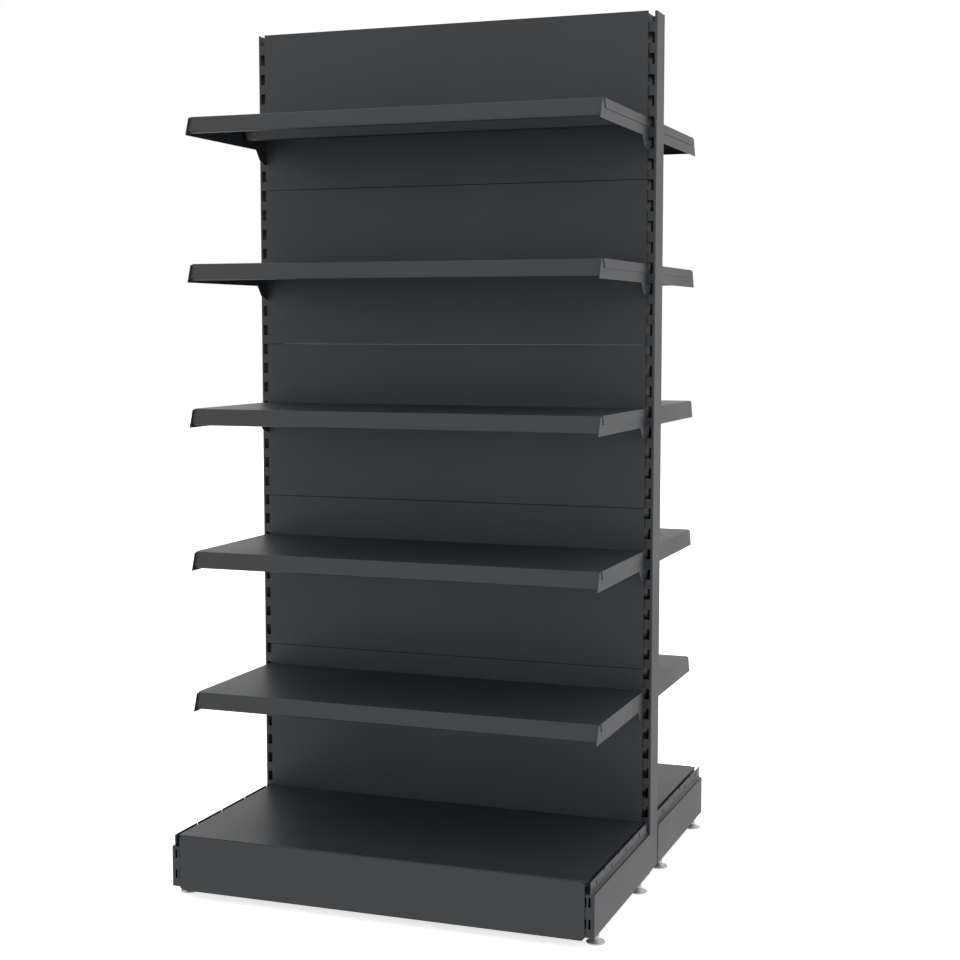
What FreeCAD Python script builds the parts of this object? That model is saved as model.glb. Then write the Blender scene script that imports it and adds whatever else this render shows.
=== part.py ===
import FreeCAD
import Part
import Sketcher
import math
import os

# Double-sided gondola shelving: two slotted uprights on four base legs, back panels on both sides,
# five hooked shelves and one base shelf on each side. Millimetres, +Z up, X along the bay,
# origin on the floor in the middle of the unit. The front side faces -Y.

DRIVING_SIZES = [
    ("slot_pitch", 50.0, "spacing of the upright slots"),
    ("slot_width", 18.0, "width of an upright slot"),
    ("slot_height", 26.5, "height of an upright slot"),
    ("slot_base", 68.5, "lower edge of the lowest slot above the floor"),
    ("slot_count", 42, "slots in one face of an upright, the open top notch included"),
    ("notch_depth", 26.0, "depth of the open notch at the top of an upright"),
    ("bay_pitch", 1038.0, "distance between the centre lines of the uprights"),
    ("upright_width", 30.0, "width of an upright along the bay"),
    ("upright_depth", 75.0, "depth of an upright"),
    ("upright_wall", 2.0, "wall of the upright tube"),
    ("upright_radius", 3.0, "outer radius of the upright tube"),
    ("floor_gap", 30.0, "underside of legs and uprights above the floor"),
    ("leg_reach", 537.0, "front face of a leg from the middle of the unit"),
    ("leg_width", 33.0, "width of a leg along the bay"),
    ("leg_cap", 1.5, "top of the box part of a leg above its upper hook"),
    ("leg_wall", 2.0, "sheet of a leg"),
    ("leg_end_plate", 3.0, "plate at the upright end of a leg"),
    ("leg_radius", 2.5, "radius of the upright edges of a leg"),
    ("strip_inset", 8.5, "set-back of the upper strip from the outer face of a leg"),
    ("strip_height", 29.0, "height of the upper strip above the box of a leg"),
    ("ledge_flat", 0.5, "flat of the ledge between the bend of the strip and the corners of a leg"),
    ("strip_slot_first", 116.0, "first slot of the strip from the middle of the unit"),
    ("strip_slot_pitch", 125.0, "spacing of the slots of the strip"),
    ("strip_slot_width", 6.0, "width of a slot of the strip"),
    ("strip_slot_height", 10.0, "height of a slot of the strip"),
    ("strip_slot_cap", 7.0, "slots of the strip below its top edge"),
    ("strip_notch_drop", 6.0, "depth of the open notches midway between the slots of the strip"),
    ("toe_slot_width", 5.0, "width of a toe slot"),
    ("toe_slot_height", 22.0, "height of a toe slot"),
    ("toe_slot_low", 50.0, "lower edge of the lower toe slots above the floor"),
    ("toe_slot_cap", 7.0, "upper toe slots below the top of the leg"),
    ("toe_slot_spread", 10.0, "distance between the two columns of toe slots"),
    ("hook_drop", 8.0, "drop of a hook behind the sheet that it hangs on"),
    ("hook_neck", 14.0, "height of the neck of a hook"),
    ("hook_nose", 3.0, "thickness of a hook behind the sheet"),
    ("hook_gap", 0.2, "play of a hook behind the sheet"),
    ("leg_hook_neck", 9.0, "height of the neck of a leg hook"),
    ("leg_hook_width", 4.0, "thickness of a leg hook"),
    ("panel_slots", 8, "height of a back panel in slot pitches"),
    ("panel_end_gap", 6.0, "end of a back panel from the centre line of the upright"),
    ("panel_depth", 6.5, "depth of the folded edge of a back panel"),
    ("panel_sheet", 1.0, "sheet of a back panel"),
    ("panel_joint", 1.0, "open joint between two back panels"),
    ("tray_end_gap", 2.2, "end of a shelf tray from the centre line of the upright"),
    ("tray_front", 436.0, "front edge of a tray top from the middle of the unit"),
    ("tray_sheet", 1.2, "sheet of the trays and kick plates"),
    ("tray_play", 2.0, "room between a tray and the back panel"),
    ("lip_height", 40.0, "height of the slanted front lip"),
    ("lip_slant", 14.5, "how far the foot of the lip stands out"),
    ("lip_return", 14.0, "width of the return under the lip"),
    ("lip_gap", 0.6, "room between an end of the lip and a bracket"),
    ("side_flange", 21.0, "height of the side flange of a tray"),
    ("side_flange_end", 58.0, "rear end of the side flange from the middle of the unit"),
    ("side_setback", 9.0, "front end of the side flange behind the front edge of the tray"),
    ("side_rake", 8.0, "slope of the front end of the side flange over its height"),
    ("rear_flange", 16.0, "height of the rear flange of a tray"),
    ("rear_flange_cut", 10.0, "room at each end of the rear flange for the brackets"),
    ("bend_radius", 2.5, "outer radius of the tray bends"),
    ("lip_radius", 5.0, "outer radius at the foot of the lip"),
    ("rib_place", 152.5, "middle of the stiffener under a tray from the middle of the unit"),
    ("rib_width", 55.0, "width of a stiffener at the sheet that it is welded to"),
    ("rib_foot", 25.0, "width of a stiffener at its foot"),
    ("rib_depth", 26.6, "depth of a stiffener"),
    ("rib_end", 13.0, "stiffener end from the end of the tray"),
    ("shelf_rise", 22.7, "tray top above the slot that carries its upper hooks"),
    ("bracket_sheet", 2.0, "plate of a bracket"),
    ("flange_gap", 0.4, "room between a bracket and the side flange of the tray"),
    ("bracket_foot", 45.5, "lower edge of a bracket below the tray top"),
    ("bracket_gap", 0.6, "room between a bracket and the upright"),
    ("nose_proud", 5.2, "nose of a bracket in front of the lip"),
    ("nose_drop", 3.3, "upper corner of the nose of a bracket below the tray top"),
    ("tail_knee", 95.0, "start of the tail from the middle of the unit"),
    ("tail_bend", 75.0, "bend of the tail from the middle of the unit"),
    ("tail_bend_drop", 70.5, "bend of the tail below the tray top"),
    ("tail_drop", 80.5, "lower end of the tail below the tray top"),
    ("lock_hole", 3.0, "side of the square locking hole of a bracket"),
    ("lock_hole_back", 36.0, "middle of the locking hole behind the foot of the nose"),
    ("lock_hole_rise", 17.8, "middle of the locking hole above the lower edge of a bracket"),
    ("base_flange", 29.4, "height of the side and rear flanges of a base shelf"),
    ("base_lip", 14.0, "height of the front flange of a base shelf"),
    ("base_lip_cut", 14.0, "end of the front flange from the end of a base shelf"),
    ("base_front_gap", 2.0, "base shelf edge behind the toe of the legs"),
    ("kick_end_gap", 5.5, "end of a kick plate from the centre line of the upright"),
    ("kick_gap", 1.8, "back of a kick plate in front of the legs"),
    ("kick_low", 22.5, "lower edge of a kick plate above the floor"),
    ("kick_drop", 1.0, "upper edge of a kick plate below the base shelf"),
    ("kick_corner", 7.0, "cut at the lower corners of a kick plate"),
    ("kick_shoulder", 12.0, "length of the cut at the upper corners of a kick plate"),
    ("kick_flange", 10.0, "depth of the lower flange of a kick plate"),
    ("kick_flange_end", 24.0, "lower flange end from the end of a kick plate"),
    ("foot_offset", 3.0, "foot centre outside the centre line of the leg"),
    ("foot_inset", 59.0, "outer foot behind the toe of the leg"),
    ("foot_inner", 106.0, "inner foot from the middle of the unit"),
    ("pad_diameter", 44.0, "diameter of a foot pad"),
    ("pad_edge", 4.0, "thickness of a foot pad at its rim"),
    ("pad_rise", 11.0, "height of the cone of a foot pad"),
    ("collar_flats", 14.0, "hexagon of the foot collar across flats"),
    ("collar_height", 8.0, "height of the foot collar"),
    ("collar_ledge", 0.6, "ledge of the cone round the corners of the foot collar"),
    ("screw_diameter", 10.0, "diameter of a foot screw"),
    ("screw_top", 75.0, "top of a foot screw above the floor"),
    ("screw_gap", 0.4, "room around a foot screw"),
    ("nut_flats", 17.0, "foot nut across flats"),
    ("nut_height", 8.0, "height of a foot nut"),
]

PANELS_PER_SIDE = 5
SHELVES_PER_SIDE = 5
FIRST_SHELF_SLOT = 8
SHELF_STEP_SLOTS = 7
STRIP_SLOTS = 4
PANEL_HOOK_SLOTS = (1, 6)
HEX_SIDES = 6
PAD_SIDES = 20
SCREW_SIDES = 12
BORE_SIDES = 8

doc = FreeCAD.newDocument("GondolaShelving")
sheet = doc.addObject("Spreadsheet::Sheet", "Sizes")


class Size:
    """A length that knows its value and the expression that ties it to the sheet."""

    def __init__(self, value, text=None):
        self.value = float(value)
        self.text = text if text is not None else repr(float(value))

    def __float__(self):
        return self.value

    def __neg__(self):
        return Size(-self.value, f"-({self.text})")

    def __add__(self, other):
        other = as_size(other)
        return Size(self.value + other.value, f"({self.text} + {other.text})")

    def __sub__(self, other):
        other = as_size(other)
        return Size(self.value - other.value, f"({self.text} - {other.text})")

    def __mul__(self, other):
        other = as_size(other)
        return Size(self.value * other.value, f"({self.text} * {other.text})")

    def __truediv__(self, other):
        other = as_size(other)
        return Size(self.value / other.value, f"({self.text} / {other.text})")

    def root(self):
        return Size(self.value ** 0.5, f"sqrt({self.text})")


def as_size(number):
    """Wrap a plain number so that it can stand beside a Size."""
    return number if isinstance(number, Size) else Size(number)


def read_sizes():
    """Write the driving sizes into the sheet and return each one as a Size."""
    sizes = {}
    for row, (alias, value, note) in enumerate(DRIVING_SIZES, start=1):
        sheet.set(f"A{row}", str(value))
        sheet.setAlias(f"A{row}", alias)
        sheet.set(f"B{row}", note)
        sizes[alias] = Size(value, f"Sizes.{alias}")
    doc.recompute()
    return sizes


S = read_sizes()

# Places that several pieces share
HALF_BAY = S["bay_pitch"] / 2
HALF_UPRIGHT = S["upright_width"] / 2
HALF_LEG = S["leg_width"] / 2
WEB_FACE = S["upright_depth"] / 2
WEB_BACK = WEB_FACE - S["upright_wall"]
UPRIGHT_TOP = S["slot_base"] + (S["slot_count"] - 1) * S["slot_pitch"] + S["notch_depth"]
PANEL_FACE = WEB_FACE + S["panel_depth"]
TRAY_REAR = PANEL_FACE + S["tray_play"]
TRAY_END = HALF_BAY - S["tray_end_gap"]
BRACKET_FACE = TRAY_END - S["tray_sheet"] - S["flange_gap"]
LIP_END = BRACKET_FACE - S["bracket_sheet"] - S["lip_gap"]
LIP_SLOPE = S["lip_slant"] / S["lip_height"]
LEG_HOOK_SEATS = (S["slot_base"], S["slot_base"] + S["slot_pitch"])
LEG_TOP = LEG_HOOK_SEATS[1] + S["leg_hook_neck"] + S["leg_cap"]
TOE_SLOT_SEATS = (S["toe_slot_low"], LEG_TOP - S["toe_slot_cap"] - S["toe_slot_height"])
FOOT_OUTER = S["leg_reach"] - S["foot_inset"]
BASE_TOP = LEG_TOP + S["base_flange"]
KICK_BACK = S["leg_reach"] + S["kick_gap"]


def bind(item, path, size):
    """Tie one property of an object to its size."""
    item.setExpression(path, as_size(size).text)


def new_body(label, turn=0, height=None):
    """Start a body; turn 180 moves a piece built for the front to the rear."""
    body = doc.addObject("PartDesign::Body", label)
    body.Label = label
    body.Placement = FreeCAD.Placement(
        FreeCAD.Vector(0, 0, float(height or 0)), FreeCAD.Rotation(FreeCAD.Vector(0, 0, 1), turn)
    )
    if height is not None:
        bind(body, "Placement.Base.z", height)
    return body


def new_sketch(body, role, offset=None):
    """Start a sketch on one of the body's own planes, moved along its normal by offset."""
    sketch = body.newObject("Sketcher::SketchObject", body.Name + "_outline")
    plane = next(feature for feature in body.Origin.OriginFeatures if feature.Role == role)
    sketch.AttachmentSupport = [(plane, "")]
    sketch.MapMode = "FlatFace"
    if offset is not None:
        bind(sketch, "AttachmentOffset.Base.z", offset)
    return sketch


def outline(sketch, corners):
    """Draw a closed loop of lines through the corners and pin each corner to the sketch origin."""
    first = sketch.GeometryCount
    points = [FreeCAD.Vector(float(across), float(along), 0) for across, along in corners]
    for start, end in zip(points, points[1:] + points[:1]):
        sketch.addGeometry(Part.LineSegment(start, end), False)
    for index, corner in enumerate(corners):
        line = first + index
        previous = first + (index - 1) % len(corners)
        sketch.addConstraint(Sketcher.Constraint("Coincident", previous, 2, line, 1))
        for kind, distance in zip(("DistanceX", "DistanceY"), corner):
            distance = as_size(distance)
            pin = sketch.addConstraint(Sketcher.Constraint(kind, -1, 1, line, 1, distance.value))
            bind(sketch, f"Constraints[{pin}]", distance)


def rectangle(sketch, left, low, right, high):
    """Draw a rectangle between two corners."""
    outline(sketch, [(left, low), (right, low), (right, high), (left, high)])


def pad(body, sketch, length, reverse=False, middle=False):
    """Raise a sketch into a solid."""
    feature = body.newObject("PartDesign::Pad", body.Name + "_pad")
    feature.Profile = sketch
    feature.Reversed = reverse
    feature.Midplane = middle
    bind(feature, "Length", length)
    body.Tip = feature
    return feature


def pocket(body, sketch, length, reverse=False, middle=False):
    """Cut a sketch out of the body."""
    feature = body.newObject("PartDesign::Pocket", body.Name + "_pocket")
    feature.Profile = sketch
    feature.Reversed = reverse
    feature.Midplane = middle
    bind(feature, "Length", length)
    body.Tip = feature
    return feature


def repeat(body, feature, role, spacing, count, reverse=False):
    """Repeat a feature at a fixed spacing along one of the body's own axes."""
    pattern = body.newObject("PartDesign::LinearPattern", body.Name + "_row")
    pattern.Originals = [feature]
    axis = next(item for item in body.Origin.OriginFeatures if item.Role == role)
    pattern.Direction = (axis, [""])
    pattern.Reversed = reverse
    pattern.Mode = "Spacing"
    bind(pattern, "Offset", spacing)
    bind(pattern, "Occurrences", count)
    body.Tip = pattern
    return pattern


def round_edges(body, feature, axis, places, radius):
    """Round the edges along one axis ("x", "y" or "z") that cross the other two at the given places."""
    doc.recompute()
    along = "xyz".index(axis)
    names = []
    for number, edge in enumerate(feature.Shape.Edges, start=1):
        direction = edge.tangentAt(edge.FirstParameter)
        crossing = [value for index, value in enumerate(edge.CenterOfMass) if index != along]
        near = any(math.dist(crossing, [float(value) for value in place]) < 0.05 for place in places)
        if near and abs(direction[along]) > 0.99:
            names.append(f"Edge{number}")
    fillet = body.newObject("PartDesign::Fillet", body.Name + "_bend")
    fillet.Base = (feature, names)
    bind(fillet, "Radius", radius)
    body.Tip = fillet
    return fillet


def compound(label, pieces):
    """Hold several solids together as one piece."""
    group = doc.addObject("Part::Compound", label)
    group.Label = label
    group.Links = pieces
    return group


def hook_corners(face, back, seat, neck, nose):
    """Corners of a hook: its neck rests at seat on the sheet between face and back."""
    behind = back + S["hook_gap"]
    end = behind + nose
    return [
        (face, seat),
        (behind, seat),
        (behind, seat - S["hook_drop"]),
        (end, seat - S["hook_drop"]),
        (end, seat + neck),
        (face, seat + neck),
    ]


def make_upright(label, side):
    """Rectangular tube with a row of slots through both faces."""
    body = new_body(label)
    centre = HALF_BAY * side
    section = new_sketch(body, "XY_Plane", S["floor_gap"])
    rectangle(section, centre - HALF_UPRIGHT, -WEB_FACE, centre + HALF_UPRIGHT, WEB_FACE)
    inner = HALF_UPRIGHT - S["upright_wall"]
    rectangle(section, centre - inner, -WEB_BACK, centre + inner, WEB_BACK)
    tube = pad(body, section, UPRIGHT_TOP - S["floor_gap"])
    edges = [(centre + HALF_UPRIGHT * end, WEB_FACE * face) for end in (-1, 1) for face in (-1, 1)]
    round_edges(body, tube, "z", edges, S["upright_radius"])
    slot = new_sketch(body, "XZ_Plane")
    half_slot = S["slot_width"] / 2
    rectangle(slot, centre - half_slot, S["slot_base"], centre + half_slot, S["slot_base"] + S["slot_height"])
    cut = pocket(body, slot, S["upright_depth"] * 2, middle=True)
    repeat(body, cut, "Z_Axis", S["slot_pitch"], S["slot_count"])
    return body


def make_leg(label, side, turn):
    """Box leg with an inset upper strip, toe slots in the end face and two hooks at the upright."""
    body = new_body(label, turn)
    centre = HALF_BAY * side
    wall = S["leg_wall"]
    box = new_sketch(body, "XZ_Plane", WEB_FACE)
    rectangle(box, centre - HALF_LEG, S["floor_gap"], centre + HALF_LEG, LEG_TOP)
    inner = HALF_LEG - wall
    rectangle(box, centre - inner, S["floor_gap"] + wall, centre + inner, LEG_TOP - wall)
    pad(body, box, S["leg_reach"] - WEB_FACE)
    for place, plate in ((WEB_FACE, S["leg_end_plate"]), (S["leg_reach"] - wall, wall)):
        end = new_sketch(body, "XZ_Plane", place)
        rectangle(end, centre - HALF_LEG, S["floor_gap"], centre + HALF_LEG, LEG_TOP)
        closed_box = pad(body, end, plate)
    edges = [(centre + HALF_LEG * end, -face) for end in (-1, 1) for face in (WEB_FACE, S["leg_reach"])]
    round_edges(body, closed_box, "z", edges, S["leg_radius"])

    strip_face = HALF_BAY + HALF_LEG - S["strip_inset"]
    strip_top = LEG_TOP + S["strip_height"]
    strip = new_sketch(body, "YZ_Plane", (strip_face - wall / 2) * side)
    rectangle(strip, -S["leg_reach"], LEG_TOP - wall, -WEB_FACE, strip_top)
    upper = pad(body, strip, wall, middle=True)
    bend = S["strip_inset"] - S["leg_radius"] - S["ledge_flat"]
    round_edges(body, upper, "y", [(strip_face * side, LEG_TOP)], bend)
    openings = new_sketch(body, "YZ_Plane", (strip_face - wall / 2) * side)
    half_slot = S["strip_slot_width"] / 2
    high = strip_top - S["strip_slot_cap"]
    for index in range(STRIP_SLOTS):
        place = S["strip_slot_first"] + S["strip_slot_pitch"] * index
        rectangle(openings, -place - half_slot, high - S["strip_slot_height"], half_slot - place, high)
        notch = place - S["strip_slot_pitch"] / 2
        low = strip_top - S["strip_notch_drop"]
        rectangle(openings, -notch - half_slot, low, half_slot - notch, strip_top + wall)
    pocket(body, openings, wall * 2, middle=True)

    slots = new_sketch(body, "XZ_Plane", S["leg_reach"])
    for column in (-1, 1):
        middle = centre + S["toe_slot_spread"] / 2 * column
        for low in TOE_SLOT_SEATS:
            half_slot = S["toe_slot_width"] / 2
            rectangle(slots, middle - half_slot, low, middle + half_slot, low + S["toe_slot_height"])
    pocket(body, slots, wall * 2, middle=True)

    hooks = new_sketch(body, "YZ_Plane", centre)
    face = -WEB_FACE - S["leg_end_plate"] / 2
    for seat in LEG_HOOK_SEATS:
        outline(hooks, hook_corners(face, -WEB_BACK, seat, S["leg_hook_neck"], S["hook_nose"]))
    pad(body, hooks, S["leg_hook_width"], middle=True)

    holes = new_sketch(body, "XY_Plane", S["floor_gap"])
    foot_line = (HALF_BAY + S["foot_offset"]) * side
    half_hole = S["screw_diameter"] / 2 + S["screw_gap"]
    for place in (FOOT_OUTER, S["foot_inner"]):
        rectangle(holes, foot_line - half_hole, -place - half_hole, foot_line + half_hole, half_hole - place)
    pocket(body, holes, wall * 2, middle=True)
    return body


def polygon_corners(sides, radius):
    """Corners of a regular polygon round the sketch origin."""
    turns = [2 * math.pi * index / sides for index in range(sides)]
    return [(radius * math.cos(turn), radius * math.sin(turn)) for turn in turns]


def corner_radius(sides, flats):
    """Corner radius of a regular polygon of the given width across its flats."""
    return flats / (2 * math.cos(math.pi / sides))


def make_foot(label, across, along):
    """Levelling foot: coned pad, hexagonal collar and screw."""
    body = new_body(label)
    bind(body, "Placement.Base.x", across)
    bind(body, "Placement.Base.y", along)
    rim = S["pad_diameter"] / 2
    collar_corner = corner_radius(HEX_SIDES, S["collar_flats"])
    edge = new_sketch(body, "XY_Plane")
    outline(edge, polygon_corners(PAD_SIDES, rim))
    disc = pad(body, edge, S["pad_rise"])
    doc.recompute()
    top = max(range(len(disc.Shape.Faces)), key=lambda index: disc.Shape.Faces[index].CenterOfMass.z)
    cone = body.newObject("PartDesign::Chamfer", label + "_cone")
    cone.Base = (disc, [f"Face{top + 1}"])
    cone.ChamferType = "Two distances"
    bind(cone, "Size", S["pad_rise"] - S["pad_edge"])
    bind(cone, "Size2", rim - collar_corner - S["collar_ledge"])
    body.Tip = cone
    collar = new_sketch(body, "XY_Plane", S["pad_rise"])
    outline(collar, polygon_corners(HEX_SIDES, collar_corner))
    pad(body, collar, S["collar_height"])
    screw = new_sketch(body, "XY_Plane", S["pad_rise"])
    outline(screw, polygon_corners(SCREW_SIDES, S["screw_diameter"] / 2))
    pad(body, screw, S["screw_top"] - S["pad_rise"])
    return body


def make_foot_nuts(label, places):
    """One hexagonal nut over each foot, inside the leg."""
    nuts = []
    for number, (across, along) in enumerate(places, start=1):
        blank = doc.addObject("Part::Prism", f"nut_blank_{number}")
        blank.Polygon = HEX_SIDES
        bind(blank, "Circumradius", corner_radius(HEX_SIDES, S["nut_flats"]))
        bind(blank, "Height", S["nut_height"])
        bore = doc.addObject("Part::Prism", f"nut_bore_{number}")
        bore.Polygon = BORE_SIDES
        bind(bore, "Circumradius", corner_radius(BORE_SIDES, S["screw_diameter"] + S["screw_gap"] * 2))
        bind(bore, "Height", S["nut_height"])
        nut = doc.addObject("Part::Cut", f"nut_{number}")
        nut.Base = blank
        nut.Tool = bore
        bind(nut, "Placement.Base.x", across)
        bind(nut, "Placement.Base.y", along)
        bind(nut, "Placement.Base.z", S["floor_gap"] + S["leg_wall"])
        nuts.append(nut)
    return compound(label, nuts)


def make_panel(label, number, turn):
    """Folded back panel with two hooks at each end; number counts from the top."""
    top = UPRIGHT_TOP - S["slot_pitch"] * S["panel_slots"] * number
    height = S["slot_pitch"] * S["panel_slots"] - S["panel_joint"]
    body = new_body(label, turn, top)
    half = HALF_BAY - S["panel_end_gap"]
    thin = S["panel_sheet"]
    frame = new_sketch(body, "XZ_Plane", WEB_FACE)
    rectangle(frame, -half, -height, half, 0)
    rectangle(frame, thin - half, thin - height, half - thin, -thin)
    pad(body, frame, S["panel_depth"])
    face = new_sketch(body, "XZ_Plane", PANEL_FACE - thin)
    rectangle(face, -half, -height, half, 0)
    pad(body, face, thin)
    for end in (-1, 1):
        hooks = new_sketch(body, "YZ_Plane", (half - thin / 2) * end)
        for slot in PANEL_HOOK_SLOTS:
            seat = -S["notch_depth"] - S["slot_pitch"] * slot
            root = -WEB_FACE - thin * 2
            outline(hooks, hook_corners(root, -WEB_BACK, seat, S["hook_neck"], S["hook_nose"]))
        pad(body, hooks, thin, middle=True)
    return body


def make_rib(body, middle, below):
    """Folded channel with sloping sides under a tray, welded to its underside at the given depth."""
    thin = S["tray_sheet"]
    half_top = S["rib_width"] / 2
    half_foot = S["rib_foot"] / 2
    low = -below - S["rib_depth"]
    outer = [(half_top, -below), (half_foot, low), (-half_foot, low), (-half_top, -below)]
    inner = [(thin - half_top, -below), (thin - half_foot, low + thin)]
    inner += [(-across, along) for across, along in reversed(inner)]
    section = new_sketch(body, "YZ_Plane")
    outline(section, [(across - middle, along) for across, along in outer + inner])
    pad(body, section, (TRAY_END - S["rib_end"]) * 2, middle=True)


def make_tray(label, height, turn):
    """Shelf tray: top, slanted lip with return, rear flange, side flanges and stiffener."""
    body = new_body(label, turn, height)
    thin = S["tray_sheet"]
    skew = thin * (LIP_SLOPE * LIP_SLOPE + 1).root()
    front = S["tray_front"]
    foot = front + S["lip_slant"]
    low = -S["lip_height"]
    inner_top = skew - front - LIP_SLOPE * thin
    inner_foot = skew - foot + LIP_SLOPE * thin
    section = new_sketch(body, "YZ_Plane")
    outline(section, [
        (-TRAY_REAR, 0),
        (-front, 0),
        (-foot, low),
        (S["lip_return"] - foot, low),
        (S["lip_return"] - foot, low + thin),
        (inner_foot, low + thin),
        (inner_top, -thin),
        (-TRAY_REAR, -thin),
    ])
    form = pad(body, section, LIP_END * 2, middle=True)
    form = round_edges(body, form, "x", [(-front, 0)], S["bend_radius"])
    form = round_edges(body, form, "x", [(-foot, low)], S["lip_radius"])
    round_edges(body, form, "x", [(inner_foot, low + thin)], S["lip_radius"] - thin)

    rear = new_sketch(body, "YZ_Plane")
    rectangle(rear, -TRAY_REAR - thin, -S["rear_flange"], -TRAY_REAR, 0)
    pad(body, rear, (TRAY_END - S["rear_flange_cut"]) * 2, middle=True)
    make_rib(body, S["rib_place"], thin)

    flange_front = S["side_setback"] - front
    for end in (-1, 1):
        top = new_sketch(body, "XY_Plane", -thin)
        outline(top, [
            ((LIP_END - thin) * end, -TRAY_REAR),
            (TRAY_END * end, -TRAY_REAR),
            (TRAY_END * end, flange_front),
            (LIP_END * end, S["bend_radius"] - front),
            ((LIP_END - thin) * end, S["bend_radius"] - front),
        ])
        pad(body, top, thin)
        flange = new_sketch(body, "YZ_Plane", (TRAY_END - thin / 2) * end)
        outline(flange, [
            (-S["side_flange_end"], 0),
            (flange_front, 0),
            (flange_front + S["side_rake"], -S["side_flange"]),
            (-S["side_flange_end"], -S["side_flange"]),
        ])
        pad(body, flange, thin, middle=True)
    return body


def make_bracket(label, side, height, turn):
    """Side bracket: plate inside the side flange of the tray, with a nose, a tail and two hooks."""
    body = new_body(label, turn, height)
    plate = S["bracket_sheet"]
    under = -S["tray_sheet"]
    foot = -S["bracket_foot"]
    nose = -S["tray_front"] - S["nose_proud"]
    nose_foot = nose + LIP_SLOPE * foot
    rear = -WEB_FACE - S["bracket_gap"]
    upper_seat = -S["shelf_rise"]
    lower_seat = upper_seat - S["slot_pitch"]
    profile = new_sketch(body, "YZ_Plane", (BRACKET_FACE - plate / 2) * side)
    outline(profile, [
        (rear, under),
        (S["bend_radius"] - S["tray_front"], under),
        (nose - LIP_SLOPE * S["nose_drop"], -S["nose_drop"]),
        (nose_foot, foot),
        (-S["tail_knee"], foot),
        (-S["tail_bend"], -S["tail_bend_drop"]),
        (-PANEL_FACE, -S["tail_drop"]),
        (rear, -S["tail_drop"]),
        *hook_corners(rear, -WEB_BACK, lower_seat, S["hook_neck"], S["hook_nose"]),
        *hook_corners(rear, -WEB_BACK, upper_seat, S["hook_neck"], S["hook_nose"]),
    ])
    pad(body, profile, plate, middle=True)
    hole = new_sketch(body, "YZ_Plane", (BRACKET_FACE - plate / 2) * side)
    half_hole = S["lock_hole"] / 2
    back = nose_foot + S["lock_hole_back"]
    rise = foot + S["lock_hole_rise"]
    rectangle(hole, back - half_hole, rise - half_hole, back + half_hole, rise + half_hole)
    pocket(body, hole, plate * 2, middle=True)
    return body


def make_base_shelf(label, turn):
    """Base shelf: plain tray whose side flanges stand on the ledges of the legs."""
    body = new_body(label, turn, BASE_TOP)
    thin = S["tray_sheet"]
    front = S["leg_reach"] - S["base_front_gap"]
    edge = S["base_flange"]
    section = new_sketch(body, "YZ_Plane")
    outline(section, [
        (-TRAY_REAR, 0),
        (-front, 0),
        (-front, -S["base_lip"]),
        (thin - front, -S["base_lip"]),
        (thin - front, -thin),
        (-TRAY_REAR - thin, -thin),
        (-TRAY_REAR - thin, -edge),
        (-TRAY_REAR, -edge),
    ])
    form = pad(body, section, TRAY_END * 2, middle=True)
    round_edges(body, form, "x", [(-front, 0)], S["bend_radius"])
    depth = front - TRAY_REAR
    for part in (1, 2):
        make_rib(body, TRAY_REAR + depth / 3 * part, thin)
    for end in (-1, 1):
        cut = new_sketch(body, "XZ_Plane", front)
        inner_end = (TRAY_END - S["base_lip_cut"]) * end
        rectangle(cut, inner_end, -S["base_lip"] - thin, (TRAY_END + thin) * end, -S["bend_radius"])
        pocket(body, cut, thin * 3, middle=True)
        flange = new_sketch(body, "YZ_Plane", (TRAY_END - thin / 2) * end)
        rectangle(flange, S["base_lip_cut"] - front, -edge, -TRAY_REAR, 0)
        pad(body, flange, thin, middle=True)
    return body


def make_kick_plate(label, turn):
    """Kick plate: cut corners, lower flange and two hooks welded on at each end."""
    plate = new_body(label + "_sheet", turn)
    thin = S["tray_sheet"]
    half = HALF_BAY - S["kick_end_gap"]
    top = BASE_TOP - S["kick_drop"]
    face = new_sketch(plate, "XZ_Plane", KICK_BACK)
    corners = [
        (half - S["kick_corner"], S["kick_low"]),
        (half, S["kick_low"] + S["kick_corner"]),
        (half, top - S["kick_shoulder"] / 3),
        (half - S["kick_shoulder"], top),
    ]
    outline(face, corners + [(-across, along) for across, along in reversed(corners)])
    pad(plate, face, thin)
    flange = new_sketch(plate, "YZ_Plane")
    rectangle(flange, -KICK_BACK - thin, S["kick_low"], S["kick_flange"] - KICK_BACK, S["kick_low"] + thin)
    pad(plate, flange, (half - S["kick_flange_end"]) * 2, middle=True)
    pieces = [plate]
    toe_back = S["leg_wall"] - S["leg_reach"]
    for end in (-1, 1):
        for seat in TOE_SLOT_SEATS:
            hook = new_body(label + "_hook", turn)
            profile = new_sketch(hook, "YZ_Plane", (half - thin / 2) * end)
            outline(profile, hook_corners(-KICK_BACK, toe_back, seat, S["leg_hook_neck"], S["hook_nose"]))
            pad(hook, profile, thin, middle=True)
            pieces.append(hook)
    return compound(label, pieces)


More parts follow.
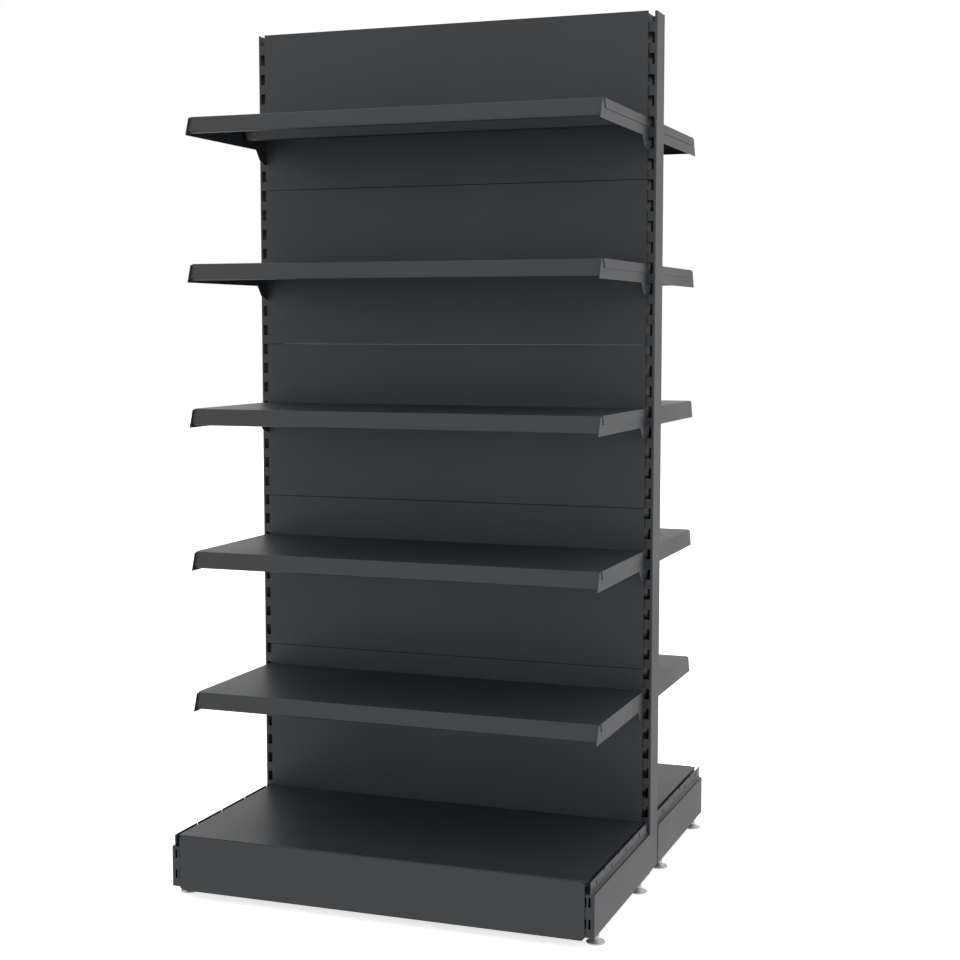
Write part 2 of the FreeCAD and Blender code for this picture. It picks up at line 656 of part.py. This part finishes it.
def build():
    """Make every piece and return them in order."""
    pieces = []
    for side, name in ((-1, "left"), (1, "right")):
        pieces.append(make_upright(f"upright_{name}", side))
    foot_line = HALF_BAY + S["foot_offset"]
    foot_places = []
    for face, turn in (("front", 0), ("rear", 180)):
        facing = -1 if turn == 0 else 1
        for side, name in ((-1, "left"), (1, "right")):
            built_side = side if turn == 0 else -side
            pieces.append(make_leg(f"base_leg_{face}_{name}", built_side, turn))
            for row, place in (("outer", FOOT_OUTER), ("inner", S["foot_inner"])):
                across = foot_line * side
                along = place * facing
                foot_places.append((across, along))
                pieces.append(make_foot(f"foot_{face}_{name}_{row}", across, along))
        pieces.append(make_base_shelf(f"base_shelf_{face}", turn))
        pieces.append(make_kick_plate(f"kick_plate_{face}", turn))
        for number in range(PANELS_PER_SIDE):
            pieces.append(make_panel(f"back_panel_{face}_{number + 1}", number, turn))
        for number in range(SHELVES_PER_SIDE):
            slot = FIRST_SHELF_SLOT + SHELF_STEP_SLOTS * (SHELVES_PER_SIDE - 1 - number)
            height = S["slot_base"] + S["slot_pitch"] * slot + S["shelf_rise"]
            pieces.append(make_tray(f"shelf_{face}_{number + 1}", height, turn))
            for side, name in ((-1, "left"), (1, "right")):
                built_side = side if turn == 0 else -side
                label = f"bracket_{face}_{number + 1}_{name}"
                pieces.append(make_bracket(label, built_side, height, turn))
    pieces.append(make_foot_nuts("foot_nuts", foot_places))
    return pieces


def check(pieces):
    """Stop when any object failed or any piece has no sound shape."""
    for item in doc.Objects:
        if "Invalid" in item.State or "Error" in item.State:
            raise RuntimeError(f"{item.Label} failed: {item.State}")
    for piece in pieces:
        if piece.Shape.isNull() or not piece.Shape.isValid() or piece.Shape.Volume <= 0:
            raise RuntimeError(f"{piece.Label} has no sound shape")


parts = build()
doc.recompute()
check(parts)
os.makedirs("parts", exist_ok=True)
for part in parts:
    part.Shape.exportStep(f"parts/{part.Label}.step")
print(f"{len(parts)} pieces written")
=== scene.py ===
import bmesh
import bpy
import math
from bpy.props import FloatProperty, FloatVectorProperty, IntProperty, PointerProperty
from mathutils import Matrix, Vector


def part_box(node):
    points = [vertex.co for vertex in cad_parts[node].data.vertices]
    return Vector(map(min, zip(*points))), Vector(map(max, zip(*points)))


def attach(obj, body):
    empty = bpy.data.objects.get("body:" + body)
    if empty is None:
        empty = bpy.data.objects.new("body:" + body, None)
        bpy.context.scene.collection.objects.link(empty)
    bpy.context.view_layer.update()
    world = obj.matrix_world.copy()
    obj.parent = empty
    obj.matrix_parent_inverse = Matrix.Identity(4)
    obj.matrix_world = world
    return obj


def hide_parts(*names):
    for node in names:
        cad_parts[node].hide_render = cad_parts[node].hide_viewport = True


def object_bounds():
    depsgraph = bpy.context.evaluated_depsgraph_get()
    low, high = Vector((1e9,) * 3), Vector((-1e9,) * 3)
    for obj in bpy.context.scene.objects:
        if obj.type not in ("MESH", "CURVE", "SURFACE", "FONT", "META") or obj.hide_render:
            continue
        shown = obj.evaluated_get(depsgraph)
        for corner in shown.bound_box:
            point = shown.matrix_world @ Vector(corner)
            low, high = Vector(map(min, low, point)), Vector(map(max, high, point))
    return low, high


bl_info = {
    "name": "Double-sided gondola shelving",
    "version": (1, 0, 0),
    "blender": (4, 5, 0),
    "location": "View3D > Sidebar > Shelving",
    "description": "Dresses the shelving frame with its finishes, screw feet and studio",
    "category": "Object",
}

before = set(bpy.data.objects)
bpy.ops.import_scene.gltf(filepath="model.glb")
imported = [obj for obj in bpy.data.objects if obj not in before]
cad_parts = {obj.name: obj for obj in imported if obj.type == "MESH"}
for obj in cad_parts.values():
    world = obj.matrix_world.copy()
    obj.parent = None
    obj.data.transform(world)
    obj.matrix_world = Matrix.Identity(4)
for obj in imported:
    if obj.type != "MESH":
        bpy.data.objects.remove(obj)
CAD_BOX = [list(corner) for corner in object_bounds()]

MILLIMETRE = 0.001
FULL_TURN = 2 * math.pi
WHITE = (1.0, 1.0, 1.0, 1.0)
SENSOR_WIDTH = 36.0

# Sockets of a Mix node that mixes colours
MIX_FACTOR, MIX_FIRST, MIX_SECOND, MIX_RESULT = 0, 6, 7, 2

# Range that most values of a noise lie in
NOISE_LOW, NOISE_HIGH = 0.3, 0.7

# Sizes of the grain in the finishes, as drawn
FLECK_SIZE = 3 * MILLIMETRE
WAVE_LENGTH = 250 * MILLIMETRE
SCALE_PATCH = 10 * MILLIMETRE
ZINC_CLOUD = 8 * MILLIMETRE
ZINC_GRAIN = 1 * MILLIMETRE

COAT_IOR = 1.5
COAT_GLOSS_SPREAD = 0.025
ZINC_GLOSS = (0.55, 0.7)

# Depths in the tube wall, as shares of it, where the coat begins and where it is full
COAT_BEGINS, COAT_FULL = 0.9, 0.6

# Inner and outer edge of the soft border of the painted shade under the base, where the floor's camera glow
# is left off over its rendered shadow, as shares of the CAD box
PAINTED_SHADE_FLOOR = (0.86, 0.74)
OPEN_FLOOR = (0.93, 0.85)

# Softening of the edges
SAME_POINT = 0.001 * MILLIMETRE
TOUCHING = 0.01 * MILLIMETRE
FLAT_ANGLE = math.radians(0.5)
EDGE_ANGLE = math.radians(40)
SHARP_ANGLE = math.radians(35)
EDGE_STEPS = 2
RIM_STEPS = 3
ROUND = 0.5

# Sizes of a screw foot, as shares of the radius of its pad
PAD_EDGE = 0.18
PAD_WAIST = 0.55
PAD_NECK = 0.36
PAD_RISE = 0.5
COLLAR_FLATS = 0.64
COLLAR_HEIGHT = 0.36
THREAD_START = 0.8
THREAD_CREST = 5 / 22

# Height of the waist as a share of the cone, and rounding of the rim as a share of its thickness
WAIST_HEIGHT = 0.36
RIM_ROUNDING = 0.3
NEAR_RIM = 0.99
COLLAR_SIDES = 6
COLLAR_EDGE = 0.5 * MILLIMETRE

# Half widths of a thread at its crest and foot, as shares of the pitch, and depth of its foot in the core
CREST_HALF = 0.06
FOOT_HALF = 0.47
FOOT_SUNK = 0.1


def linear(hex_colour):
    """Turn an sRGB hex colour into linear red, green and blue."""
    channels = [int(hex_colour[start:start + 2], 16) / 255 for start in (1, 3, 5)]
    return tuple(c / 12.92 if c <= 0.04045 else ((c + 0.055) / 1.055) ** 2.4 for c in channels)


def colour_value(name, description, hex_colour):
    """Property for a colour."""
    return FloatVectorProperty(
        name=name, description=description, subtype="COLOR", min=0, max=1, default=linear(hex_colour),
    )


def share_value(name, description, default):
    """Property for a value from 0 to 1."""
    return FloatProperty(name=name, description=description, subtype="FACTOR", min=0, max=1, default=default)


def length_value(name, description, default):
    """Property for a length."""
    return FloatProperty(name=name, description=description, unit="LENGTH", default=default)


def angle_value(name, description, degrees):
    """Property for an angle."""
    return FloatProperty(name=name, description=description, subtype="ANGLE", default=math.radians(degrees))


class ShelvingFinishes(bpy.types.PropertyGroup):
    """Colours and surface values of the coat, the bare tube and the plating."""

    coat_colour: colour_value("Coat colour", "Main colour of the anthracite powder coat", "#2b2e31")
    coat_fleck: colour_value("Coat fleck", "Lighter colour of the fine flecks in the coat", "#34373b")
    coat_roughness: share_value("Coat roughness", "Mean roughness of the semi-matt coat", 0.44)
    peel_size: length_value("Orange peel size", "Spacing of the ripples in the coat", 6 * MILLIMETRE)
    # The dark bare inside of the tubes is real mill scale and also a painted shade in the slots.
    scale_and_shade_colour: colour_value("Mill scale colour", "Main colour of the bare inside of the tubes", "#323436")
    scale_rust: colour_value("Rusted scale colour", "Warmer patches in the mill scale", "#3e3b38")
    scale_roughness: share_value("Mill scale roughness", "Roughness of the bare inside of the tubes", 0.52)
    zinc_colour: colour_value("Zinc colour", "Colour of the zinc plating on the feet", "#e2e4e4")
    zinc_dull: colour_value("Dulled zinc colour", "Colour of the plating where it has dulled", "#cccece")


class ShelvingSizes(bpy.types.PropertyGroup):
    """Small radii, the tube wall and the thread sizes."""

    sheet_edge: length_value("Sheet edge", "Rounding of the coated sheet edges", 0.4 * MILLIMETRE)
    tube_edge: length_value("Tube edge", "Rounding of the tube corners", 0.8 * MILLIMETRE)
    tube_wall: length_value("Tube wall", "Wall of the upright tubes", 2 * MILLIMETRE)
    thread_pitch: length_value("Thread pitch", "Pitch of the foot screws", 1.5 * MILLIMETRE)
    thread_depth: length_value("Thread depth", "Depth of the thread of the foot screws", 0.9 * MILLIMETRE)
    turn_steps: IntProperty(
        name="Steps in a turn", description="Faces round a turned piece", min=12, default=48,
    )


class ShelvingStage(bpy.types.PropertyGroup):
    """Floor, light and camera."""

    floor_size: length_value("Floor size", "Side of the square studio floor", 40.0)
    floor_colour: colour_value("Floor colour", "Colour of the pale studio floor", "#fbfbfb")
    floor_glow: FloatProperty(
        name="Floor glow",
        description="White that the floor shows the camera beside the light that falls on it",
        default=0.72,
    )
    floor_mirror: FloatProperty(
        name="Floor in reflections", description="White of the floor in reflections", default=1.0,
    )
    sky_strength: FloatProperty(
        name="Surround strength", description="Light of the white studio surround", default=0.93,
    )
    sky_mirror: FloatProperty(
        name="Surround in reflections", description="White of the surround in reflections", default=0.94,
    )
    camera_place: FloatVectorProperty(
        name="Camera place",
        description="Where the camera stands",
        subtype="TRANSLATION",
        unit="LENGTH",
        default=(1.57234, -4.10883, 1.38636),
    )
    camera_turn: angle_value("Camera turn", "Turn of the camera to the left of the bay's depth", 20.113)
    camera_tilt: angle_value("Camera tilt", "Tilt of the camera below the horizon", 5.067)
    camera_lens: FloatProperty(
        name="Camera lens", description="Focal length in millimetres on a 36 mm sensor", default=64.185,
    )


def add_node(tree, kind, links=None, **settings):
    """Add a node, set its properties, and set or link its inputs."""
    node = tree.nodes.new(kind)
    for name, value in settings.items():
        setattr(node, name, value)
    for socket, source in (links or {}).items():
        if isinstance(source, bpy.types.NodeSocket):
            tree.links.new(source, node.inputs[socket])
        else:
            node.inputs[socket].default_value = source
    return node


def new_material(name):
    """Start an empty node material."""
    material = bpy.data.materials.new(name)
    material.use_nodes = True
    material.node_tree.nodes.clear()
    return material, material.node_tree


def opaque(colour):
    """Add full alpha to a colour."""
    return (*colour, 1.0)


def object_place(tree):
    """Socket of the place on the object."""
    return add_node(tree, "ShaderNodeTexCoord").outputs["Object"]


def noise(tree, place, size, detail, roughness=0.5):
    """Socket of a noise with features of about the given size."""
    texture = add_node(
        tree, "ShaderNodeTexNoise",
        {"Vector": place, "Scale": 1 / size, "Detail": detail, "Roughness": roughness},
    )
    return texture.outputs["Fac"]


def blend(tree, factor, first, second):
    """Socket of a colour that goes from the first to the second with the factor."""
    mix = add_node(
        tree, "ShaderNodeMix",
        {MIX_FACTOR: factor, MIX_FIRST: opaque(first), MIX_SECOND: opaque(second)},
        data_type="RGBA",
    )
    return mix.outputs[MIX_RESULT]


def spread(tree, factor, low, high):
    """Socket of a value that goes from low to high over the common range of a noise."""
    ranged = add_node(
        tree, "ShaderNodeMapRange",
        {"Value": factor, "From Min": NOISE_LOW, "From Max": NOISE_HIGH, "To Min": low, "To Max": high},
    )
    return ranged.outputs["Result"]


def bump(tree, height, strength, depth, **under):
    """Socket of the normal of a surface that rises with height, over another bump if one is given."""
    raised = add_node(
        tree, "ShaderNodeBump", {"Height": height, "Strength": strength, "Distance": depth, **under},
    )
    return raised.outputs["Normal"]


def math_node(tree, operation, first, second):
    """Socket of the result of one sum."""
    return add_node(tree, "ShaderNodeMath", {0: first, 1: second}, operation=operation).outputs[0]


def coat_shader(tree):
    """Shader of the anthracite polyester powder coat."""
    # A semi-matt dark coat: soft wide reflections, a pale sheen at grazing angles and faint flecks.
    finish = bpy.context.scene.shelving_finishes
    place = object_place(tree)
    # Orange peel has ripples 2 to 3 mm wide, drawn twice as coarse so that they show at all.
    peel = noise(tree, place, finish.peel_size, detail=2.0)
    # Flecks in the powder are well under 1 mm, drawn at 3 mm.
    fleck = noise(tree, place, FLECK_SIZE, detail=1.0, roughness=0.6)
    # Long waves of the rolled sheet, a quarter of a metre from crest to crest.
    wave = noise(tree, place, WAVE_LENGTH, detail=1.0, roughness=0.4)
    rolled = bump(tree, wave, strength=0.3, depth=1 * MILLIMETRE)
    rough = finish.coat_roughness
    shader = add_node(
        tree, "ShaderNodeBsdfPrincipled",
        {
            "Base Color": blend(tree, fleck, finish.coat_colour, finish.coat_fleck),
            "Roughness": spread(tree, wave, rough - COAT_GLOSS_SPREAD, rough + COAT_GLOSS_SPREAD),
            "Normal": bump(tree, peel, strength=0.25, depth=0.2 * MILLIMETRE, Normal=rolled),
            "IOR": COAT_IOR,
        },
    )
    return shader.outputs["BSDF"]


def powder_coat():
    """Sheet steel that is powder coated all over."""
    if "powder_coated_steel" in bpy.data.materials:
        return bpy.data.materials["powder_coated_steel"]
    material, tree = new_material("powder_coated_steel")
    add_node(tree, "ShaderNodeOutputMaterial", {"Surface": coat_shader(tree)})
    return material


def scale_and_shade_shader(tree):
    """Shader of the bare inside of a tube, which also paints shade into the slots."""
    # Dark dull mill scale, which is also a painted shade that makes the slots read as deep holes.
    finish = bpy.context.scene.shelving_finishes
    # Patches of scale are some 10 mm wide.
    patch = noise(tree, object_place(tree), SCALE_PATCH, detail=3.0, roughness=0.6)
    shader = add_node(
        tree, "ShaderNodeBsdfPrincipled",
        {
            "Base Color": blend(tree, patch, finish.scale_and_shade_colour, finish.scale_rust),
            "Roughness": finish.scale_roughness,
            "IOR": COAT_IOR,
        },
    )
    return shader.outputs["BSDF"]


def coated_tube():
    """Steel tube that is powder coated outside and bare inside; the dark bare inside also paints shade into
    the slots.
    """
    low, high = (Vector(corner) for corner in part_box("upright_right"))
    wall = bpy.context.scene.shelving_sizes.tube_wall
    material, tree = new_material("powder_coated_tube")
    half = (high - low) / 2
    inner, outer = ((half.x - wall * share, half.y - wall * share) for share in (COAT_BEGINS, COAT_FULL))
    coated = outside(tree, inner, outer, (low.x + high.x) / 2)
    surface = add_node(
        tree, "ShaderNodeMixShader", {0: coated, 1: scale_and_shade_shader(tree), 2: coat_shader(tree)},
    )
    add_node(tree, "ShaderNodeOutputMaterial", {"Surface": surface.outputs["Shader"]})
    return material


def zinc_plate():
    """Bright zinc plating on turned and cold-headed steel."""
    # A pale metal with soft, slightly cloudy reflections that dull in patches.
    if "zinc_plated_steel" in bpy.data.materials:
        return bpy.data.materials["zinc_plated_steel"]
    finish = bpy.context.scene.shelving_finishes
    material, tree = new_material("zinc_plated_steel")
    place = object_place(tree)
    # Clouds of the plating bath are some 8 mm wide.
    cloud = noise(tree, place, ZINC_CLOUD, detail=3.0, roughness=0.6)
    # Grain of the plating is about 0.1 mm, drawn at 1 mm.
    grain = noise(tree, place, ZINC_GRAIN, detail=1.0)
    shader = add_node(
        tree, "ShaderNodeBsdfPrincipled",
        {
            "Base Color": blend(tree, cloud, finish.zinc_colour, finish.zinc_dull),
            "Metallic": 1.0,
            "Roughness": spread(tree, cloud, *ZINC_GLOSS),
            "Normal": bump(tree, grain, strength=0.2, depth=0.05 * MILLIMETRE),
        },
    )
    add_node(tree, "ShaderNodeOutputMaterial", {"Surface": shader.outputs["BSDF"]})
    return material


def reflected_ray(tree):
    """Socket that is 1 for rays that a surface mirrors or lets through."""
    path = add_node(tree, "ShaderNodeLightPath").outputs
    return math_node(tree, "MAXIMUM", path["Is Glossy Ray"], path["Is Transmission Ray"])


def camera_ray(tree):
    """Socket that is 1 for rays straight from the camera."""
    return add_node(tree, "ShaderNodeLightPath").outputs["Is Camera Ray"]


def outside(tree, low, high, middle=0.0):
    """Socket that rises from 0 to 1 between two boxes round x = middle, and round x = -middle."""
    # A box is given by half its length and half its depth.
    folded = add_node(tree, "ShaderNodeVectorMath", {0: object_place(tree)}, operation="ABSOLUTE")
    moved = add_node(
        tree, "ShaderNodeVectorMath", {0: folded.outputs[0], 1: (middle, 0.0, 0.0)}, operation="SUBTRACT",
    )
    apart = add_node(tree, "ShaderNodeVectorMath", {0: moved.outputs[0]}, operation="ABSOLUTE")
    axes = add_node(tree, "ShaderNodeSeparateXYZ", {0: apart.outputs[0]}).outputs
    along, across = (
        add_node(tree, "ShaderNodeMapRange", {"Value": axes[axis], "From Min": start, "From Max": end})
        for axis, start, end in zip("XY", low, high)
    )
    return math_node(tree, "MAXIMUM", along.outputs[0], across.outputs[0])


def studio_floor():
    """Seamless white paper that keeps the shadow of the shelving."""
    # Paper that burns out to white some way off; under the base its glow is left off, a painted shade over
    # its rendered shadow.
    stage = bpy.context.scene.shelving_stage
    material, tree = new_material("studio_paper")
    paper = add_node(tree, "ShaderNodeBsdfDiffuse", {"Color": opaque(stage.floor_colour)})
    half = Vector(CAD_BOX[1])
    # The glow fades out inside the painted shade box under the base and is full outside the open box.
    painted_shade_edge, clear = ((half.x * length, half.y * depth) for length, depth in (PAINTED_SHADE_FLOOR, OPEN_FLOOR))
    seen = math_node(tree, "MULTIPLY", camera_ray(tree), outside(tree, painted_shade_edge, clear))
    strength = math_node(tree, "MULTIPLY", seen, stage.floor_glow)
    glow = add_node(tree, "ShaderNodeEmission", {"Color": WHITE, "Strength": strength})
    lit = add_node(tree, "ShaderNodeAddShader", {0: paper.outputs["BSDF"], 1: glow.outputs["Emission"]})
    plain = add_node(tree, "ShaderNodeEmission", {"Color": WHITE, "Strength": stage.floor_mirror})
    shown = add_node(
        tree, "ShaderNodeMixShader",
        {0: reflected_ray(tree), 1: lit.outputs["Shader"], 2: plain.outputs["Emission"]},
    )
    add_node(tree, "ShaderNodeOutputMaterial", {"Surface": shown.outputs["Shader"]})
    return material


def nodes_named(start):
    """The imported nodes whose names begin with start."""
    found = [node for name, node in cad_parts.items() if name.startswith(start)]
    if not found:
        raise RuntimeError(f"no packed node starts with {start}")
    return found


def dress(nodes, material, edge):
    """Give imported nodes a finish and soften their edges."""
    for node in nodes:
        node.material_slots[0].material = material
        weld = node.modifiers.new("joined faces", "WELD")
        weld.merge_threshold = TOUCHING
        flat = node.modifiers.new("flat faces", "DECIMATE")
        flat.decimate_type = "DISSOLVE"
        flat.angle_limit = FLAT_ANGLE
        rounded = node.modifiers.new("soft edges", "BEVEL")
        rounded.width = edge
        rounded.segments = EDGE_STEPS
        rounded.limit_method = "ANGLE"
        rounded.angle_limit = EDGE_ANGLE
        rounded.harden_normals = True


def coat_sheets(start):
    """Coat the folded sheets whose names begin with start."""
    dress(nodes_named(start), powder_coat(), bpy.context.scene.shelving_sizes.sheet_edge)


def spin_profile(bm, profile, steps):
    """Turn a profile of (radius, height) points about the Z axis."""
    points = [bm.verts.new((radius, 0, height)) for radius, height in profile]
    lines = [bm.edges.new(pair) for pair in zip(points, points[1:])]
    bmesh.ops.spin(
        bm, geom=points + lines, cent=(0, 0, 0), axis=(0, 0, 1), angle=FULL_TURN, steps=steps, use_merge=True,
    )
    bmesh.ops.remove_doubles(bm, verts=bm.verts, dist=SAME_POINT)


def round_off(bm, lines, width, steps):
    """Round some edges of a mesh."""
    bmesh.ops.bevel(
        bm, geom=lines, offset=width, segments=steps, profile=ROUND, affect="EDGES", material=-1,
    )


def foot_pad(bm, rim, steps):
    """Coned pad with a rounded rim and a slightly hollowed top."""
    edge = rim * PAD_EDGE
    rise = rim * PAD_RISE
    waist = (rim * PAD_WAIST, edge + (rise - edge) * WAIST_HEIGHT)
    spin_profile(bm, [(0, 0), (rim, 0), (rim, edge), waist, (rim * PAD_NECK, rise), (0, rise)], steps)
    rim_edges = [
        line for line in bm.edges
        if all(math.hypot(corner.co.x, corner.co.y) > rim * NEAR_RIM for corner in line.verts)
        and abs(line.verts[0].co.z - line.verts[1].co.z) < TOUCHING
    ]
    round_off(bm, rim_edges, edge * RIM_ROUNDING, RIM_STEPS)


def foot_collar(bm, rim):
    """Hexagonal collar for the spanner."""
    radius = rim * COLLAR_FLATS / 2 / math.cos(math.pi / COLLAR_SIDES)
    base = bmesh.ops.create_circle(
        bm, cap_ends=True, segments=COLLAR_SIDES, radius=radius,
        matrix=Matrix.Translation((0, 0, rim * PAD_RISE)),
    )
    bottom = base["verts"][0].link_faces[0]
    raised = bmesh.ops.extrude_face_region(bm, geom=[bottom])
    top = [item for item in raised["geom"] if isinstance(item, bmesh.types.BMVert)]
    bmesh.ops.translate(bm, verts=top, vec=(0, 0, rim * COLLAR_HEIGHT))
    edges = {line for corner in base["verts"] + top for line in corner.link_edges}
    round_off(bm, list(edges), COLLAR_EDGE, EDGE_STEPS)


def foot_thread(bm, rim, top):
    """Screw thread wound round a plain core."""
    sizes = bpy.context.scene.shelving_sizes
    steps = sizes.turn_steps // 2
    pitch = sizes.thread_pitch
    low = rim * THREAD_START
    crest = rim * THREAD_CREST
    root = crest - sizes.thread_depth
    sunk = root - sizes.thread_depth * FOOT_SUNK
    turns = int((top - low) / pitch) - 1
    middle = low + pitch / 2
    corners = [(sunk, -FOOT_HALF), (crest, -CREST_HALF), (crest, CREST_HALF), (sunk, FOOT_HALF)]
    points = [bm.verts.new((radius, 0, middle + pitch * height)) for radius, height in corners]
    ridge = bm.faces.new(points)
    bmesh.ops.spin(
        bm, geom=points + list(ridge.edges) + [ridge], cent=(0, 0, 0), axis=(0, 0, 1),
        dvec=(0, 0, pitch / steps), angle=FULL_TURN * turns, steps=steps * turns,
    )
    tip = pitch / 2
    spin_profile(bm, [(0, low), (root, low), (root, top - tip), (root - tip, top), (0, top)], steps)


def make_foot(node_name):
    """Screw foot that stands for one packed foot."""
    low, high = (Vector(corner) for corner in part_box(node_name))
    rim = (high.x - low.x) / 2
    bm = bmesh.new()
    foot_pad(bm, rim, bpy.context.scene.shelving_sizes.turn_steps)
    foot_collar(bm, rim)
    foot_thread(bm, rim, high.z - low.z)
    bmesh.ops.recalc_face_normals(bm, faces=bm.faces)
    bmesh.ops.translate(bm, verts=bm.verts, vec=((low.x + high.x) / 2, (low.y + high.y) / 2, low.z))
    for face in bm.faces:
        face.smooth = True
    mesh = bpy.data.meshes.new("screw_" + node_name)
    bm.to_mesh(mesh)
    bm.free()
    mesh.set_sharp_from_angle(angle=SHARP_ANGLE)
    mesh.materials.append(zinc_plate())
    foot = bpy.data.objects.new("screw_" + node_name, mesh)
    bpy.context.scene.collection.objects.link(foot)
    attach(foot, node_name)
    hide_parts(node_name)


class SHELVING_OT_uprights(bpy.types.Operator):
    """Coat the two slotted uprights"""

    bl_idname = "shelving.uprights"
    bl_label = "Uprights"

    def execute(self, context):
        dress(nodes_named("upright_"), coated_tube(), context.scene.shelving_sizes.tube_edge)
        return {"FINISHED"}


class SHELVING_OT_back_panels(bpy.types.Operator):
    """Coat the back panels of both sides"""

    bl_idname = "shelving.back_panels"
    bl_label = "Back panels"

    def execute(self, context):
        coat_sheets("back_panel_")
        return {"FINISHED"}


class SHELVING_OT_base_legs(bpy.types.Operator):
    """Coat the four base legs"""

    bl_idname = "shelving.base_legs"
    bl_label = "Base legs"

    def execute(self, context):
        coat_sheets("base_leg_")
        return {"FINISHED"}


class SHELVING_OT_shelves(bpy.types.Operator):
    """Coat the hung shelf trays"""

    bl_idname = "shelving.shelves"
    bl_label = "Shelves"

    def execute(self, context):
        coat_sheets("shelf_")
        return {"FINISHED"}


class SHELVING_OT_brackets(bpy.types.Operator):
    """Coat the side brackets that carry the trays"""

    bl_idname = "shelving.brackets"
    bl_label = "Brackets"

    def execute(self, context):
        coat_sheets("bracket_")
        return {"FINISHED"}


class SHELVING_OT_base_shelves(bpy.types.Operator):
    """Coat the two base shelves"""

    bl_idname = "shelving.base_shelves"
    bl_label = "Base shelves"

    def execute(self, context):
        coat_sheets("base_shelf_")
        return {"FINISHED"}


class SHELVING_OT_kick_plates(bpy.types.Operator):
    """Coat the two kick plates"""

    bl_idname = "shelving.kick_plates"
    bl_label = "Kick plates"

    def execute(self, context):
        coat_sheets("kick_plate_")
        return {"FINISHED"}


class SHELVING_OT_feet(bpy.types.Operator):
    """Build the screw feet and plate their nuts"""

    bl_idname = "shelving.feet"
    bl_label = "Screw feet"

    def execute(self, context):
        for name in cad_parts:
            if name.startswith("foot_") and name != "foot_nuts":
                make_foot(name)
        dress(nodes_named("foot_nuts"), zinc_plate(), context.scene.shelving_sizes.sheet_edge)
        return {"FINISHED"}


def white_surround(scene):
    """White world that lights the shelving from all sides."""
    stage = scene.shelving_stage
    world = bpy.data.worlds.new("studio_surround")
    world.use_nodes = True
    tree = world.node_tree
    tree.nodes.clear()
    mirrored = add_node(
        tree, "ShaderNodeMapRange",
        {"Value": reflected_ray(tree), "To Min": stage.sky_strength, "To Max": stage.sky_mirror},
    )
    strength = add_node(
        tree, "ShaderNodeMapRange",
        {"Value": camera_ray(tree), "To Min": mirrored.outputs[0], "To Max": 1.0},
    )
    sky = add_node(tree, "ShaderNodeBackground", {"Color": WHITE, "Strength": strength.outputs[0]})
    add_node(tree, "ShaderNodeOutputWorld", {"Surface": sky.outputs["Background"]})
    scene.world = world


class SHELVING_OT_stage(bpy.types.Operator):
    """Set up the floor, the light and the camera"""

    bl_idname = "shelving.stage"
    bl_label = "Studio"

    def execute(self, context):
        scene = context.scene
        stage = scene.shelving_stage
        bm = bmesh.new()
        bmesh.ops.create_grid(bm, x_segments=1, y_segments=1, size=stage.floor_size / 2)
        mesh = bpy.data.meshes.new("studio_floor")
        bm.to_mesh(mesh)
        bm.free()
        mesh.materials.append(studio_floor())
        floor = bpy.data.objects.new("studio_floor", mesh)
        scene.collection.objects.link(floor)
        white_surround(scene)
        camera = bpy.data.objects.new("camera", bpy.data.cameras.new("camera"))
        camera.data.sensor_width = SENSOR_WIDTH
        camera.data.lens = stage.camera_lens
        camera.location = stage.camera_place
        camera.rotation_euler = (math.pi / 2 - stage.camera_tilt, 0, stage.camera_turn)
        scene.collection.objects.link(camera)
        scene.camera = camera
        scene.view_settings.view_transform = "Standard"
        return {"FINISHED"}


OPERATORS = (
    SHELVING_OT_uprights,
    SHELVING_OT_back_panels,
    SHELVING_OT_base_legs,
    SHELVING_OT_shelves,
    SHELVING_OT_brackets,
    SHELVING_OT_base_shelves,
    SHELVING_OT_kick_plates,
    SHELVING_OT_feet,
    SHELVING_OT_stage,
)


class VIEW3D_PT_shelving(bpy.types.Panel):
    """Sidebar list of the shelving's pieces"""

    bl_label = "Gondola shelving"
    bl_space_type = "VIEW_3D"
    bl_region_type = "UI"
    bl_category = "Shelving"

    def draw(self, context):
        for operator in OPERATORS:
            self.layout.operator(operator.bl_idname)


GROUPS = {
    "shelving_finishes": ShelvingFinishes,
    "shelving_sizes": ShelvingSizes,
    "shelving_stage": ShelvingStage,
}


def register():
    """Register the property groups, the operators and the panel."""
    for name, group in GROUPS.items():
        bpy.utils.register_class(group)
        setattr(bpy.types.Scene, name, PointerProperty(type=group))
    for item in (*OPERATORS, VIEW3D_PT_shelving):
        bpy.utils.register_class(item)


def unregister():
    """Remove everything that register added."""
    for item in reversed((*OPERATORS, VIEW3D_PT_shelving)):
        bpy.utils.unregister_class(item)
    for name, group in reversed(GROUPS.items()):
        delattr(bpy.types.Scene, name)
        bpy.utils.unregister_class(group)


def main():
    """Dress every piece and set the stage."""
    register()
    bpy.ops.shelving.uprights()
    bpy.ops.shelving.back_panels()
    bpy.ops.shelving.base_legs()
    bpy.ops.shelving.shelves()
    bpy.ops.shelving.brackets()
    bpy.ops.shelving.base_shelves()
    bpy.ops.shelving.kick_plates()
    bpy.ops.shelving.feet()
    bpy.ops.shelving.stage()


if __name__ == "__main__":
    main()
